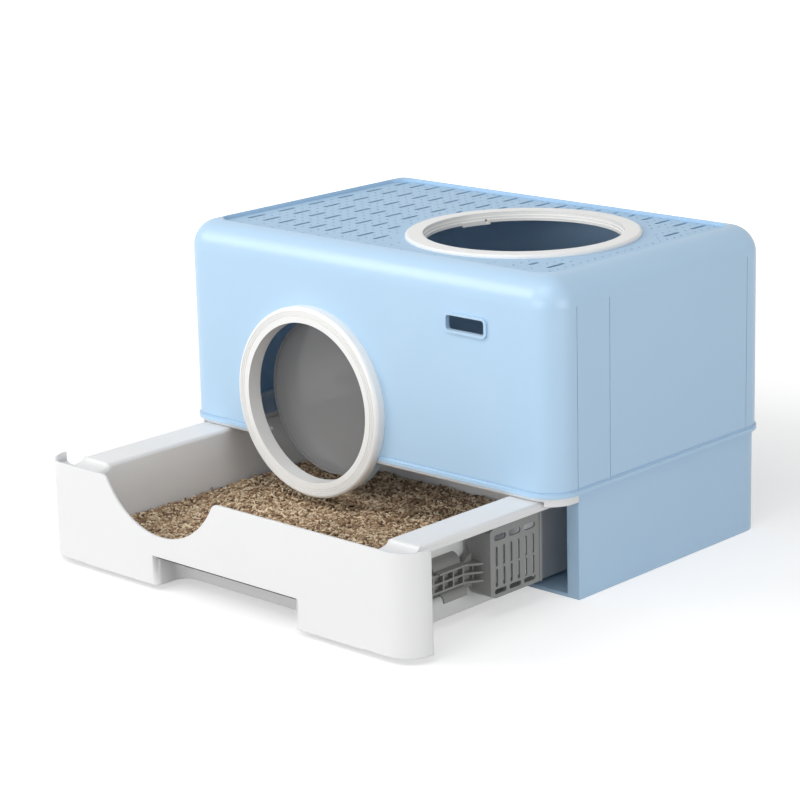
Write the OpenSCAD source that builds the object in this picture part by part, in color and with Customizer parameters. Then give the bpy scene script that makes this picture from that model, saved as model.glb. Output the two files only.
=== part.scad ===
// Drawer litter box: a housing that a litter drawer slides out of, under a lift-off hood.
// Millimetres. X runs left to right, Y from front to back, Z up.
// The origin is on the floor, under the middle of the hood. The drawer is drawn pulled out.

/* [Hood] */
// Width of the hood
hood_w = 560; // [520:1:600]
// Depth of the hood, front to back
hood_d = 376; // [360:1:400]
// Height of the hood above the housing
hood_h = 235; // [225:1:260]
// Wall thickness of the hood
hood_wall = 3; // [2.5:0.25:3.5]
// Radius of the hood's upright corners
hood_corner_r = 34; // [33:0.5:38]
// Radius of the hood's top edge
hood_edge_r = 32; // [26:0.5:32]
// How far the bead at the hood's lower edge stands proud
bead_out = 2; // [1:0.25:3]
// Height of the bead at the hood's lower edge
bead_h = 4.2; // [3:0.2:6]
// Depth of the collar behind the doorway, below the hood's edge
collar_depth = 15; // [12:0.5:18]
// Distance of the middle side seam behind the hood's front
side_seam_y = 92; // [70:1:120]
// Width of the seam grooves
seam_w = 0.8; // [0.6:0.1:1.2]
// Depth of the seam grooves
seam_depth = 0.6; // [0.3:0.1:1]

/* [Top panel] */
// Distance from the hood's side to the edge of the sunk top panel
recess_inset = 28; // [24:0.5:30]
// How far the top panel lies below the rim round it
recess_depth = 4.5; // [3:0.25:6]
// Corner radius of the sunk top panel
recess_corner_r = 24; // [18:1:30]
// Thickness of the top panel
panel_t = 3; // [2.5:0.25:3.5]
// Width of the ledge that carries the top panel
ledge_w = 8; // [6:0.5:10]
// Gap round the top panel
panel_gap = 0.3; // [0.2:0.1:0.6]
// Length of one air slot
slot_len = 29; // [20:1:32]
// Width of one air slot
slot_w = 5; // [3:0.2:6]
// Distance between neighbouring slots, left to right
slot_pitch_x = 25.2; // [22:0.2:30]
// Distance between neighbouring slots, front to back
slot_pitch_y = 50; // [46:0.5:56]
// Distance of the slots' pattern to the right of the panel's middle
slot_shift = 3.4; // [0:0.2:4]
// Plain strip in front of the first row of slots
slot_front = 38; // [34:0.5:44]
// Diameter of one air hole
dot_d = 3.2; // [2:0.2:4]
// Plain margin between the air slots and the panel's edge
vent_margin = 4; // [2:1:8]
// Plain margin between the air slots and the entrance ring
ring_margin = 18; // [12:1:26]

/* [Top ring] */
// Distance of the top ring's middle to the right of the hood's middle
top_ring_x = 83; // [76:0.5:90]
// Distance of the top ring's middle in front of the hood's middle
top_ring_y = 2.6; // [0:0.2:8]
// Inner radius of the top ring
top_ring_in_r = 110; // [100:0.5:111]
// Width of the top ring's flange
top_ring_band = 22.2; // [20:0.2:24]
// Height of the top ring above the top panel
top_ring_h = 4.2; // [3.6:0.2:6]
// Number of screws that hold the top ring
top_ring_screws_n = 8; // [6:1:10]

/* [Front ring] */
// Distance of the doorway's middle to the left of the hood's middle
door_x = 71.4; // [62:0.2:80]
// Height of the doorway's middle above the hood's lower edge
door_z = 51.4; // [46:0.2:56]
// Radius of the doorway
door_r = 92; // [86:0.5:94]
// Outer radius of the front ring
front_ring_r = 110; // [108:0.5:112]
// How far the front ring stands in front of the hood
front_ring_out = 12.6; // [10:0.2:14]
// Wall thickness of the rings' sleeves
sleeve_t = 4; // [3:0.25:4.5]
// How far the front ring's sleeve reaches behind the hood's front
sleeve_depth = 6; // [5:0.25:8]
// Thickness of the clamp rings behind both rings
clamp_t = 4; // [3:0.25:5]
// Number of screws that hold the front ring
front_ring_screws_n = 5; // [5:2:7]

/* [Flap] */
// Thickness of the flap
flap_t = 2; // [1.5:0.25:2.5]
// Distance of the flap behind the hood's front
flap_back = 28; // [24:0.5:30]
// How far the flap's edge stays inside the doorway's radius
flap_gap = 1; // [0.5:0.25:6]
// Radius of the hinge pin
pin_r = 1.2; // [1:0.05:1.3]
// Length of the hinge knuckle on the flap
knuckle_len = 36; // [30:1:36]
// Running clearance of the pin in the knuckle
pin_clear = 0.1; // [0.05:0.01:0.1]

/* [Hand grip] */
// Distance of the hand grip's middle to the right of the hood's middle
grip_x = 160; // [140:1:180]
// Height of the hand grip's middle above the hood's lower edge
grip_z = 173; // [160:1:180]
// Width of the hand grip's frame
grip_w = 60; // [50:1:70]
// Height of the hand grip's frame
grip_h = 23; // [20:0.5:28]
// Width of the hand grip's frame all round
grip_band = 3.4; // [2.5:0.1:4]
// How far the hand grip's frame stands in front of the hood
grip_out = 2.2; // [1:0.2:3]

/* [Housing] */
// Height of the housing
base_h = 119; // [112:1:130]
// How far the housing's side lies inside the hood's side
base_inset = 3; // [2:0.5:5]
// Distance of the housing's front edge behind the hood's front
base_setback = 42; // [36:1:50]
// Wall thickness of the housing
base_wall = 3; // [2.5:0.25:3.5]
// Floor thickness of the housing
base_floor = 3.8; // [3:0.2:5]
// Width of the posts beside the housing's front opening
post_w = 16; // [12:0.5:17]
// How far the foot pads stand below the housing's underside
pad_out = 0.25; // [0.1:0.05:0.3]
// Length of one foot pad
pad_len = 36; // [24:1:50]
// Width of one foot pad
pad_w = 14; // [10:1:20]
// Thickness of the runners that carry the drawer
runner_h = 2.4; // [1.6:0.2:3]
// Width of one runner
runner_w = 18; // [12:1:26]
// Distance of the runners' middles inside the tray's sides
runner_inset = 65; // [40:1:100]

/* [Middle frame] */
// Thickness of the middle frame
frame_t = 4.2; // [3.6:0.2:5]
// Width of the middle frame's bars
frame_bar = 26; // [20:1:30]
// Depth of the skirt below the middle frame's front corners
frame_skirt = 9.5; // [7:0.5:10]
// Height of the rib that centres the hood
frame_rib_h = 6; // [4:0.5:10]

/* [Drawer] */
// How far the drawer's front stands in front of the hood, pulled out
drawer_out = 224; // [200:1:240]
// Length of the drawer's tray
tray_len = 371; // [350:1:372]
// Wall thickness of the drawer
tray_wall = 2.6; // [2:0.1:3]
// Radius of the tray's back corners
tray_corner_r = 22; // [14:1:30]
// Distance of the side rims' outer edge inside the hood's side
rim_inset = 23; // [22:0.5:26]
// Width of one side rim
rim_run = 42.2; // [40:0.2:46]
// Height of the turned-down edge of the rims
rim_lip_h = 9.5; // [7:0.5:10]
// Radius of the rims' outer edge
rim_edge_r = 3; // [2.6:0.1:3.4]
// Height of the drawer front's lower edge above the floor
front_low = 7.5; // [7:0.25:9]
// Height of the drawer front's upper edge above the floor
front_top = 118; // [116:0.25:118]
// Radius of the drawer front's upright ends
front_end_r = 33; // [28:0.5:34]
// Distance of the step-in notch's middle to the left of the drawer's middle
notch_x = 87; // [80:0.5:95]
// Radius of the step-in notch
notch_r = 95; // [88:0.5:100]
// Depth of the step-in notch below the drawer front's upper edge
notch_depth = 54.5; // [48:0.5:60]
// Radius of the step-in notch's upper corners
notch_edge_r = 10; // [6:0.5:14]
// Distance of the finger pull's middle to the right of the drawer's middle
pull_x = 10; // [0:1:20]
// Width of the finger pull
pull_w = 210; // [160:1:240]
// Height of the finger pull above the drawer front's lower edge
pull_h = 32; // [28:0.5:36]
// Depth of the finger pull
pull_depth = 41; // [30:0.5:44]
// Radius of the finger pull's inner corners
pull_corner_r = 16; // [10:1:20]
// Radius of the valleys between the side rims and the drawer's front
valley_r = 22; // [18:0.5:23]
// Depth of the valleys below the side rims
valley_depth = 18; // [12:0.5:18]
// Depth of litter in the tray, between its heaps
litter_depth = 37; // [34:0.5:38]
// Height of the low heaps in the litter
heap_h = 5; // [3:0.5:6]
// Distance between the low heaps
heap_pitch = 73; // [60:1:90]

/* [Scoop] */
// Length of the scoop's blade
blade_len = 81; // [70:1:84]
// Width of the scoop's blade
blade_w = 77; // [70:0.5:78]
// Depth of the scoop's blade
blade_depth = 28; // [24:0.5:28]
// Length of the slanted heel of the blade
heel_len = 4; // [3:0.5:10]
// Wall thickness of the scoop
scoop_wall = 2; // [1.5:0.1:2.5]
// Length of the scoop's handle
handle_len = 126; // [112:1:128]
// Width of the scoop's handle
handle_w = 21; // [18:0.5:24]
// Thickness of the scoop's handle
handle_t = 8; // [6:0.5:9]
// Distance between the cross bars of the handle
handle_pitch = 15.2; // [12:0.2:20]
// Height of the handle's middle above the floor
handle_z = 54; // [50:0.5:56]
// Distance of the blade's mouth behind the drawer's front
mouth_y = 236; // [228:1:240]
// Length of the clip's upper jaw, front to back
clip_len = 42; // [36:1:44]
// Length of the clip's lower jaw, front to back
lower_jaw_len = 36; // [28:1:40]
// Radius of the clip's upper jaw
upper_jaw_r = 12; // [8:0.5:12]
// Radius of the clip's lower jaw
lower_jaw_r = 10; // [8:0.5:11]

/* [Clearances] */
// Running gap above and below the drawer
slide_gap = 0.3; // [0.2:0.05:0.5]
// Gap between pieces that are pushed together
fit_gap = 0.3; // [0.2:0.05:0.4]
// Radius of a screw's shank
screw_r = 1.5; // [1.25:0.05:1.75]
// Radius of a screw's head
screw_head_r = 3; // [2.6:0.1:3.4]

/* [Hidden] */

$fn = 64;
// Small overlap that lets a cutting shape pass right through a wall
cut = 1;

blue = [0.71, 0.83, 0.92];
white = [0.96, 0.96, 0.95];
grey = [0.53, 0.53, 0.52];
smoke = [0.35, 0.37, 0.4, 0.5];
sand = [0.72, 0.62, 0.5];
steel = [0.75, 0.76, 0.78];
rubber = [0.2, 0.2, 0.22];

// Heights above the floor
floor_top = pad_out + base_floor;
tray_z = floor_top + runner_h + slide_gap;
frame_z = base_h - frame_t;
rim_z = frame_z - slide_gap - fit_gap;
hood_top = base_h + hood_h;
panel_z = hood_top - recess_depth;
ring_z = base_h + door_z;
grip_mid_z = base_h + grip_z;

// Places along the hood and the housing
hood_front = -hood_d / 2;
base_w = hood_w - 2 * base_inset;
base_front = hood_front + base_setback;
base_back = hood_d / 2 - base_inset;
base_corner_r = hood_corner_r - base_inset;
base_opening_w = base_w - 2 * post_w;
flange_w = 9;

// Top panel and its vents
recess_w = hood_w - 2 * recess_inset;
recess_d = hood_d - 2 * recess_inset;
vent_cols = floor((recess_w - 2 * vent_margin - 2 * slot_shift - slot_w) / slot_pitch_x) + 1;
vent_rows = floor((recess_d - slot_front - slot_len - vent_margin / 2) / slot_pitch_y) + 1;
first_slot_y = -recess_d / 2 + slot_front + slot_len / 2;
top_ring_r = top_ring_in_r + top_ring_band;
clear_r = top_ring_r + ring_margin;
dot_clear_r = top_ring_r + ring_margin / 2;

// Rings
collar_r = front_ring_r - 2;
hole_r = door_r + sleeve_t + fit_gap;
front_screw_pcr = (hole_r + collar_r - hood_wall) / 2;
top_sleeve_r = top_ring_in_r + sleeve_t;
top_clamp_r = top_ring_r - 5;
top_screw_in = top_ring_h * 0.4;
top_screw_pcr = (top_sleeve_r + fit_gap + top_clamp_r) / 2;
head_h = 1.8;

// Flap, measured in front of the hood's front face
flap_r = door_r - flap_gap;
knuckle_r = pin_r + pin_clear + 1.4;
flap_mid = -flap_back;
pin_up = door_r + sleeve_t + knuckle_r + 0.6;
ear_t = 5;
ear_gap = 0.5;
ear_top = pin_up + pin_r + 1.2;

// Drawer
drawer_front = hood_front - drawer_out;
tray_back = drawer_front + tray_len;
rim_w = hood_w - 2 * rim_inset;
tray_w = rim_w - 2 * rim_run;
rim_inner = tray_w / 2 - tray_wall;
rim_front = drawer_front + front_end_r;
dip_z = rim_z - valley_depth;
notch_z = front_top - notch_depth + notch_r;
pull_top = front_low + pull_h;
stop_len = 6;
stop_out = base_opening_w / 2 - rim_w / 2 + 4;

// Scoop
blade_x = rim_w / 2 - 7;
blade_top = rim_z - rim_lip_h - 3;
blade_bottom = blade_top - blade_w;
mouth = drawer_front + mouth_y;
heel = mouth - blade_len;
heel_x = blade_x - blade_depth;
handle_x = heel_x + 0.5;
handle_front = heel - heel_len / 2 - handle_len;
flare_len = 16;
flare_out = 11;
lower_jaw_y = heel - heel_len / 2 - flare_len - 2 - lower_jaw_len / 2;
clip_y = heel - heel_len / 2 - flare_len - 2 - clip_len / 2;

// ---------- shared shapes ----------

// Flat rectangle with round corners, centred
module round_rect(w, d, r) {
    union() {
        square([w - 2 * r, d], center = true);
        square([w, d - 2 * r], center = true);
        for (x = [-1, 1], y = [-1, 1])
            translate([x * (w / 2 - r), y * (d / 2 - r)]) circle(r = r);
    }
}

// Upright plate with round corners between two heights
module slab(w, d, r, low, high) {
    translate([0, 0, low]) linear_extrude(high - low) round_rect(w, d, r);
}

// Half of a section through a block with a round top edge
module edge_section(run, h, edge_r) {
    union() {
        square([run, h - edge_r]);
        square([run - edge_r, h]);
        translate([run - edge_r, h - edge_r]) intersection() {
            circle(r = edge_r);
            square(edge_r + cut);
        }
    }
}

// Block with upright round corners and a round top edge, standing on z = 0
module round_top_block(w, d, h, corner_r, edge_r) {
    in_x = w / 2 - corner_r;
    in_y = d / 2 - corner_r;
    union() {
        translate([-in_x, -in_y, 0]) cube([2 * in_x, 2 * in_y, h]);
        for (corner = [[1, 1, 0], [-1, 1, 90], [-1, -1, 180], [1, -1, 270]])
            translate([corner[0] * in_x, corner[1] * in_y, 0]) rotate(corner[2])
                rotate_extrude(angle = 90) edge_section(corner_r, h, edge_r);
        for (turn = [0, 180]) rotate(turn) {
            translate([in_x, in_y, 0]) rotate([90, 0, 0])
                linear_extrude(2 * in_y) edge_section(corner_r, h, edge_r);
            translate([-in_x, in_y, 0]) rotate([90, 0, 90])
                linear_extrude(2 * in_x) edge_section(corner_r, h, edge_r);
        }
    }
}

// Puts a shape drawn along +Z onto the doorway's axis, with +Z pointing out of the front
module on_door() {
    translate([-door_x, hood_front, ring_z]) rotate([90, 0, 0]) children();
}

// Puts a shape on the top ring's axis, with z = 0 on the top panel
module on_top_ring() {
    translate([top_ring_x, -top_ring_y, panel_z]) children();
}

// Flat ring between two radii and two heights
module band(inner_r, outer_r, low, high) {
    translate([0, 0, low]) difference() {
        cylinder(r = outer_r, h = high - low, $fn = 128);
        translate([0, 0, -cut]) cylinder(r = inner_r, h = high - low + 2 * cut, $fn = 128);
    }
}

// Copies a shape round a circle, the first one at the bottom
module round_circle(n, radius) {
    for (i = [0:n - 1]) rotate(360 / n * i - 90) translate([radius, 0, 0]) children();
}

// Screw with its head at z = 0 and below, pointing up
module screw(length) {
    union() {
        cylinder(r = screw_r, h = length, $fn = 24);
        translate([0, 0, -head_h]) cylinder(r = screw_head_r, h = head_h, $fn = 24);
    }
}

// ---------- housing ----------

// Outline of the housing, seen from above: round at the back, square at the front
module base_outline(inset) {
    translate([0, (base_front + base_back) / 2])
        round_rect(base_w - 2 * inset, base_back - base_front - 2 * inset, base_corner_r - inset);
    translate([-base_w / 2 + inset, base_front + inset])
        square([base_w - 2 * inset, base_corner_r]);
}

module base_housing() {
    inner_w = base_w - 2 * base_wall;
    color(blue) difference() {
        union() {
            difference() {
                translate([0, 0, pad_out]) linear_extrude(base_h - pad_out) base_outline(0);
                translate([0, 0, floor_top]) linear_extrude(base_h) union() {
                    base_outline(base_wall);
                    translate([-inner_w / 2, base_front - cut]) square([inner_w, base_wall + 2 * cut]);
                }
            }
            // posts that frame the front opening
            for (side = [-1, 1])
                translate([side * (base_w - post_w - base_wall) / 2, base_front + base_wall / 2,
                           (floor_top + frame_z) / 2])
                    cube([post_w - base_wall, base_wall, frame_z - floor_top], center = true);
            // ledge that carries the middle frame
            translate([0, 0, frame_z - base_wall]) linear_extrude(base_wall) difference() {
                base_outline(base_wall);
                translate([0, -ledge_w]) square([inner_w - 2 * ledge_w, base_back * 2 - 2 * base_wall],
                                                center = true);
            }
        }
        foot_pad_places() foot_pad(fit_gap / 2, pad_out + base_floor / 2);
    }
}

module foot_pad(grow, high) {
    slab(pad_len + 2 * grow, pad_w + 2 * grow, pad_w / 2 + grow - 1, 0, high);
}

module foot_pad_places() {
    edge = 4;
    for (side = [-1, 1]) {
        translate([side * (base_w / 2 - pad_len), base_front + edge + pad_w / 2, 0]) children();
        translate([side * (base_w / 2 - pad_len), base_back - edge - pad_w, 0]) children();
    }
}

module foot_pads() {
    color(rubber) foot_pad_places() foot_pad(0, pad_out + base_floor / 2);
}

module runner(side) {
    length = base_back - base_front - 2 * base_wall - 2;
    color(white) translate([side * (tray_w / 2 - runner_inset), base_front + 1 + length / 2, 0])
        slab(runner_w, length, 3, floor_top, floor_top + runner_h);
}

module left_runner() { runner(-1); }
module right_runner() { runner(1); }

// ---------- middle frame ----------

module middle_frame() {
    overhang = base_setback - fit_gap;
    lip_inset = 2;
    inner_w = base_w - 2 * base_wall - 2 * fit_gap;
    rib_inset = hood_wall + flange_w + fit_gap;
    skirt_w = (hood_w - 2 * lip_inset - rim_w) / 2 - 3;
    rib_w = 2.5;
    cover = 5;
    color(white) difference() {
        union() {
            // plate: as wide as the hood in front of the housing, and inside its walls behind
            translate([0, 0, frame_z]) linear_extrude(frame_t) union() {
                intersection() {
                    round_rect(hood_w - 2 * lip_inset, hood_d - 2 * lip_inset, hood_corner_r - lip_inset);
                    translate([-hood_w / 2, hood_front]) square([hood_w, overhang]);
                }
                translate([0, (base_front + base_back - base_wall) / 2 - overhang / 4])
                    round_rect(inner_w, base_back - base_front - base_wall - 2 * fit_gap + overhang / 2,
                               base_corner_r - base_wall - fit_gap);
            }
            // skirts below the two front corners
            translate([0, 0, frame_z - frame_skirt + frame_t]) linear_extrude(frame_skirt)
                intersection() {
                    difference() {
                        round_rect(hood_w - 2 * lip_inset, hood_d - 2 * lip_inset,
                                   hood_corner_r - lip_inset);
                        square([hood_w - 2 * lip_inset - 2 * skirt_w, hood_d], center = true);
                    }
                    translate([-hood_w / 2, hood_front]) square([hood_w, overhang]);
                }
            // rib that centres the hood
            slab(hood_w - 2 * rib_inset, hood_d - 2 * rib_inset, hood_corner_r - rib_inset,
                 base_h - frame_t / 2, base_h + frame_rib_h);
        }
        // opening above the tray
        slab(hood_w - 2 * rib_inset - 2 * rib_w, hood_d - 2 * rib_inset - 2 * rib_w,
             hood_corner_r - rib_inset - rib_w, base_h, base_h + frame_rib_h + cut);
        slab(tray_w - 2 * cover, hood_d - 2 * frame_bar, tray_corner_r, frame_z - cut, base_h + cut);
        // room for the collar of the doorway
        on_door() translate([0, 0, -base_setback])
            cylinder(r = collar_r + fit_gap * 2, h = hood_d / 2, $fn = 128);
    }
}

// ---------- hood ----------

module grip_shape(shrink) {
    round_rect(grip_w - 2 * shrink, grip_h - 2 * shrink, 7 - shrink);
}

module on_grip() {
    translate([grip_x, hood_front, grip_mid_z]) rotate([90, 0, 0]) children();
}

module hood_shell() {
    inner_w = hood_w - 2 * hood_wall;
    inner_d = hood_d - 2 * hood_wall;
    ledge_z = panel_z - panel_t;
    groove_z = base_h + bead_h + 1.4;
    color(blue) difference() {
        union() {
            // shell
            translate([0, 0, base_h]) difference() {
                round_top_block(hood_w, hood_d, hood_h, hood_corner_r, hood_edge_r);
                translate([0, 0, -cut])
                    round_top_block(inner_w, inner_d, hood_h - hood_wall + cut,
                                    hood_corner_r - hood_wall, hood_edge_r - hood_wall);
            }
            // bead and inner flange round the lower edge
            difference() {
                slab(hood_w + 2 * bead_out, hood_d + 2 * bead_out, hood_corner_r + bead_out,
                     base_h, base_h + bead_h);
                slab(inner_w - 2 * flange_w, inner_d - 2 * flange_w, hood_corner_r - hood_wall - flange_w,
                     base_h - cut, base_h + bead_h + cut);
                on_door() cylinder(r = front_ring_r + 1.5, h = hood_wall + bead_out, $fn = 128);
            }
            // frame that carries the top panel
            slab(recess_w + 2 * hood_wall, recess_d + 2 * hood_wall, recess_corner_r + hood_wall,
                 ledge_z - hood_wall, hood_top - hood_wall / 2);
            // round wall and collar of the doorway
            on_door() translate([0, 0, -collar_depth])
                cylinder(r = collar_r, h = collar_depth, $fn = 128);
        }
        // sunk top
        slab(recess_w, recess_d, recess_corner_r, ledge_z, hood_top + cut);
        slab(recess_w - 2 * ledge_w, recess_d - 2 * ledge_w, recess_corner_r - ledge_w,
             ledge_z - hood_wall - cut, ledge_z + cut);
        // doorway
        on_door() {
            translate([0, 0, -collar_depth - cut])
                cylinder(r = collar_r - hood_wall, h = collar_depth + cut - hood_wall, $fn = 128);
            translate([0, 0, -collar_depth]) cylinder(r = hole_r, h = collar_depth + cut, $fn = 128);
            round_circle(front_ring_screws_n, front_screw_pcr) translate([0, 0, -hood_wall - cut])
                cylinder(r = screw_r + fit_gap, h = hood_wall + 2 * cut, $fn = 24);
        }
        // hand grip
        on_grip() translate([0, 0, -hood_wall - cut]) linear_extrude(hood_wall + 2 * cut)
            grip_shape(grip_band / 2 - fit_gap);
        // groove above the bead
        difference() {
            slab(hood_w + 2 * cut, hood_d + 2 * cut, hood_corner_r + cut, groove_z, groove_z + seam_w);
            slab(hood_w - 2 * seam_depth, hood_d - 2 * seam_depth, hood_corner_r - seam_depth,
                 groove_z - cut, groove_z + seam_w + cut);
            on_door() cylinder(r = front_ring_r + 1.5, h = 4 * hood_wall, center = true, $fn = 128);
        }
        // seams down both sides
        for (side = [-1, 1], seam_y = [hood_front + hood_corner_r + 4, hood_front + side_seam_y,
                                       hood_d / 2 - hood_corner_r - 6])
            translate([side * hood_w / 2, seam_y, base_h + bead_h + (hood_h - bead_h - hood_edge_r) / 2])
                cube([2 * seam_depth, seam_w, hood_h - bead_h - hood_edge_r], center = true);
    }
}

// ---------- top panel ----------

// Part of a column of slots that stays clear of the ring: [low end, high end], empty if too short
function slot_span(x, mid) =
    let (dx = x - top_ring_x,
         dy = abs(dx) < clear_r ? sqrt(clear_r * clear_r - dx * dx) : 0,
         low = mid - slot_len / 2,
         high = mid + slot_len / 2,
         ring_low = -top_ring_y - dy,
         ring_high = -top_ring_y + dy)
    dy == 0 || high < ring_low || low > ring_high ? [low, high]
    : low < ring_low ? [low, ring_low]
    : high > ring_high ? [ring_high, high] : [0, 0];

function clear_of_ring(x, y) = norm([x - top_ring_x, y + top_ring_y]) > dot_clear_r;

module air_slot(x, span) {
    length = span[1] - span[0];
    if (length > 1.6 * slot_w)
        translate([x, (span[0] + span[1]) / 2]) union() {
            square([slot_w, length - slot_w], center = true);
            for (end = [-1, 1]) translate([0, end * (length - slot_w) / 2]) circle(d = slot_w, $fn = 24);
        }
}

module air_hole(x, y) {
    if (clear_of_ring(x, y)) translate([x, y]) circle(d = dot_d, $fn = 16);
}

module vents() {
    first_x = slot_shift - slot_pitch_x * (vent_cols - 1) / 2;
    for (col = [0:vent_cols - 1]) {
        x = first_x + col * slot_pitch_x;
        for (row = [0:vent_rows - 1]) air_slot(x, slot_span(x, first_slot_y + row * slot_pitch_y));
        for (row = [0:vent_rows - 2]) air_hole(x, first_slot_y + (row + 0.5) * slot_pitch_y);
    }
    for (col = [0:vent_cols - 2], step = [-3:4 * vent_rows - 3])
        air_hole(first_x + (col + 0.5) * slot_pitch_x, first_slot_y + step * slot_pitch_y / 4);
}

module vent_panel() {
    color(blue) difference() {
        translate([0, 0, panel_z - panel_t]) linear_extrude(panel_t) difference() {
            round_rect(recess_w - 2 * panel_gap, recess_d - 2 * panel_gap, recess_corner_r - panel_gap);
            vents();
        }
        on_top_ring() {
            translate([0, 0, -panel_t - cut])
                cylinder(r = top_sleeve_r + fit_gap, h = panel_t + 2 * cut, $fn = 128);
            round_circle(top_ring_screws_n, top_screw_pcr) translate([0, 0, -panel_t - cut])
                cylinder(r = screw_r + fit_gap, h = panel_t + 2 * cut, $fn = 24);
        }
    }
}

// ---------- rings ----------

// Section of the top ring: flange with a round outer edge, and a sleeve that steps inwards
module top_ring_section() {
    step = 1.3;
    low = -panel_t - clamp_t;
    translate([top_ring_in_r, 0]) union() {
        translate([2 * step, 0])
            edge_section(top_ring_band - 2 * step, top_ring_h, 0.7 * top_ring_h);
        translate([2 * step, low]) square([sleeve_t - 2 * step, top_ring_h / 2 - low]);
        translate([step, low]) square([sleeve_t - step, -low - 0.5]);
        translate([0, low]) square([sleeve_t, clamp_t - 0.5]);
    }
}

// Lug with a pin hole in the sleeve, for a lid on the top opening
module lid_lug() {
    turn = 151;
    span = 19;
    rotate(turn) rotate_extrude(angle = span, $fn = 128)
        translate([top_ring_in_r - 1.6, -panel_t - clamp_t - 2]) square([sleeve_t, clamp_t + 1]);
}

module lid_pin_hole() {
    rotate(153.5) translate([top_ring_in_r - 2 * sleeve_t, 0, -panel_t - 1.8]) rotate([0, 90, 0])
        cylinder(r = 1.7, h = 4 * sleeve_t, $fn = 24);
}

module top_ring() {
    color(white) on_top_ring() difference() {
        union() {
            rotate_extrude($fn = 128) top_ring_section();
            lid_lug();
        }
        lid_pin_hole();
        round_circle(top_ring_screws_n, top_screw_pcr) translate([0, 0, -cut])
            cylinder(r = screw_r + 0.05, h = top_screw_in + 1 + cut, $fn = 24);
    }
}

module top_ring_clamp() {
    color(white) on_top_ring() difference() {
        band(top_sleeve_r + fit_gap, top_clamp_r, -panel_t - clamp_t, -panel_t);
        round_circle(top_ring_screws_n, top_screw_pcr) translate([0, 0, -panel_t - clamp_t - cut])
            cylinder(r = screw_r + fit_gap, h = clamp_t + 2 * cut, $fn = 24);
    }
}

module top_ring_screws() {
    color(steel) on_top_ring() round_circle(top_ring_screws_n, top_screw_pcr)
        translate([0, 0, -panel_t - clamp_t]) screw(panel_t + clamp_t + top_screw_in);
}

// Section of the front ring: flat face with shallow grooves near its edge, and a sleeve
module front_ring_section() {
    face_w = front_ring_r - door_r;
    grooves = [0.4, 0.54, 0.68];
    groove_w = 0.8;
    groove_depth = 0.5;
    translate([door_r, 0]) union() {
        difference() {
            edge_section(face_w, front_ring_out, 4.5);
            for (g = grooves) translate([face_w * g, front_ring_out - groove_depth])
                square([groove_w, groove_depth + cut]);
        }
        translate([0, -sleeve_depth]) square([sleeve_t, sleeve_depth + front_ring_out / 2]);
    }
}

module front_ring() {
    color(white) on_door() difference() {
        rotate_extrude($fn = 128) front_ring_section();
        round_circle(front_ring_screws_n, front_screw_pcr) translate([0, 0, -cut])
            cylinder(r = screw_r + 0.05, h = front_ring_out / 3 + cut, $fn = 24);
    }
}

module front_ring_clamp() {
    inner_r = hole_r;
    outer_r = collar_r - hood_wall - fit_gap;
    gap_w = knuckle_len + 2 * ear_gap;
    arm_end = flap_mid - pin_r - 1.2;
    color(white) on_door() difference() {
        union() {
            difference() {
                union() {
                    band(inner_r, outer_r, -hood_wall - clamp_t, -hood_wall);
                    // arms that reach back and hold the hinge pin
                    for (side = [-1, 1])
                        translate([side * (gap_w + ear_t) / 2 - ear_t / 2, door_r, arm_end])
                            cube([ear_t, ear_top - door_r, -hood_wall - arm_end]);
                }
                // room for the sleeve
                translate([0, 0, -sleeve_depth - fit_gap])
                    cylinder(r = inner_r, h = sleeve_depth, $fn = 128);
            }
            // bar that stops the flap from swinging outwards
            translate([-gap_w / 2 - cut, door_r, flap_mid + flap_t / 2 + fit_gap])
                cube([gap_w + 2 * cut, 3, 2.4]);
        }
        translate([0, pin_up, flap_mid]) rotate([0, 90, 0])
            cylinder(r = pin_r, h = gap_w + 4 * ear_t, center = true, $fn = 32);
        round_circle(front_ring_screws_n, front_screw_pcr)
            translate([0, 0, -hood_wall - clamp_t - cut])
                cylinder(r = screw_r + fit_gap, h = clamp_t + 2 * cut, $fn = 24);
    }
}

module front_ring_screws() {
    color(steel) on_door() round_circle(front_ring_screws_n, front_screw_pcr)
        translate([0, 0, -hood_wall - clamp_t])
            screw(hood_wall + clamp_t + front_ring_out / 3 - 1);
}

// ---------- flap ----------

module flap_hinge_pin() {
    color(steel) on_door() translate([0, pin_up, flap_mid]) rotate([0, 90, 0])
        cylinder(r = pin_r, h = knuckle_len + 2 * ear_gap + 2 * ear_t, center = true, $fn = 32);
}

module flap_panel() {
    rim_h = 0.8;
    color(smoke) on_door() difference() {
        union() {
            translate([0, 0, flap_mid - flap_t / 2]) cylinder(r = flap_r, h = flap_t, $fn = 128);
            // raised rim round the edge
            band(flap_r - 3, flap_r, flap_mid, flap_mid + flap_t / 2 + rim_h);
            // strap up to the knuckle
            translate([0, (pin_up + flap_r * 0.9) / 2, flap_mid])
                cube([knuckle_len, pin_up - flap_r * 0.9, flap_t], center = true);
            translate([0, pin_up, flap_mid]) rotate([0, 90, 0])
                cylinder(r = knuckle_r, h = knuckle_len, center = true, $fn = 32);
        }
        translate([0, pin_up, flap_mid]) rotate([0, 90, 0])
            cylinder(r = pin_r + pin_clear, h = knuckle_len + 2 * cut, center = true, $fn = 32);
    }
}

// ---------- hand grip ----------

module grip_frame() {
    color(blue) on_grip() difference() {
        union() {
            linear_extrude(grip_out) grip_shape(0);
            translate([0, 0, -hood_wall - 1]) linear_extrude(hood_wall + 2) grip_shape(grip_band / 2);
        }
        translate([0, 0, -hood_wall - 2]) linear_extrude(hood_wall + grip_out + 3)
            grip_shape(grip_band);
    }
}

// ---------- drawer ----------

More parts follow.
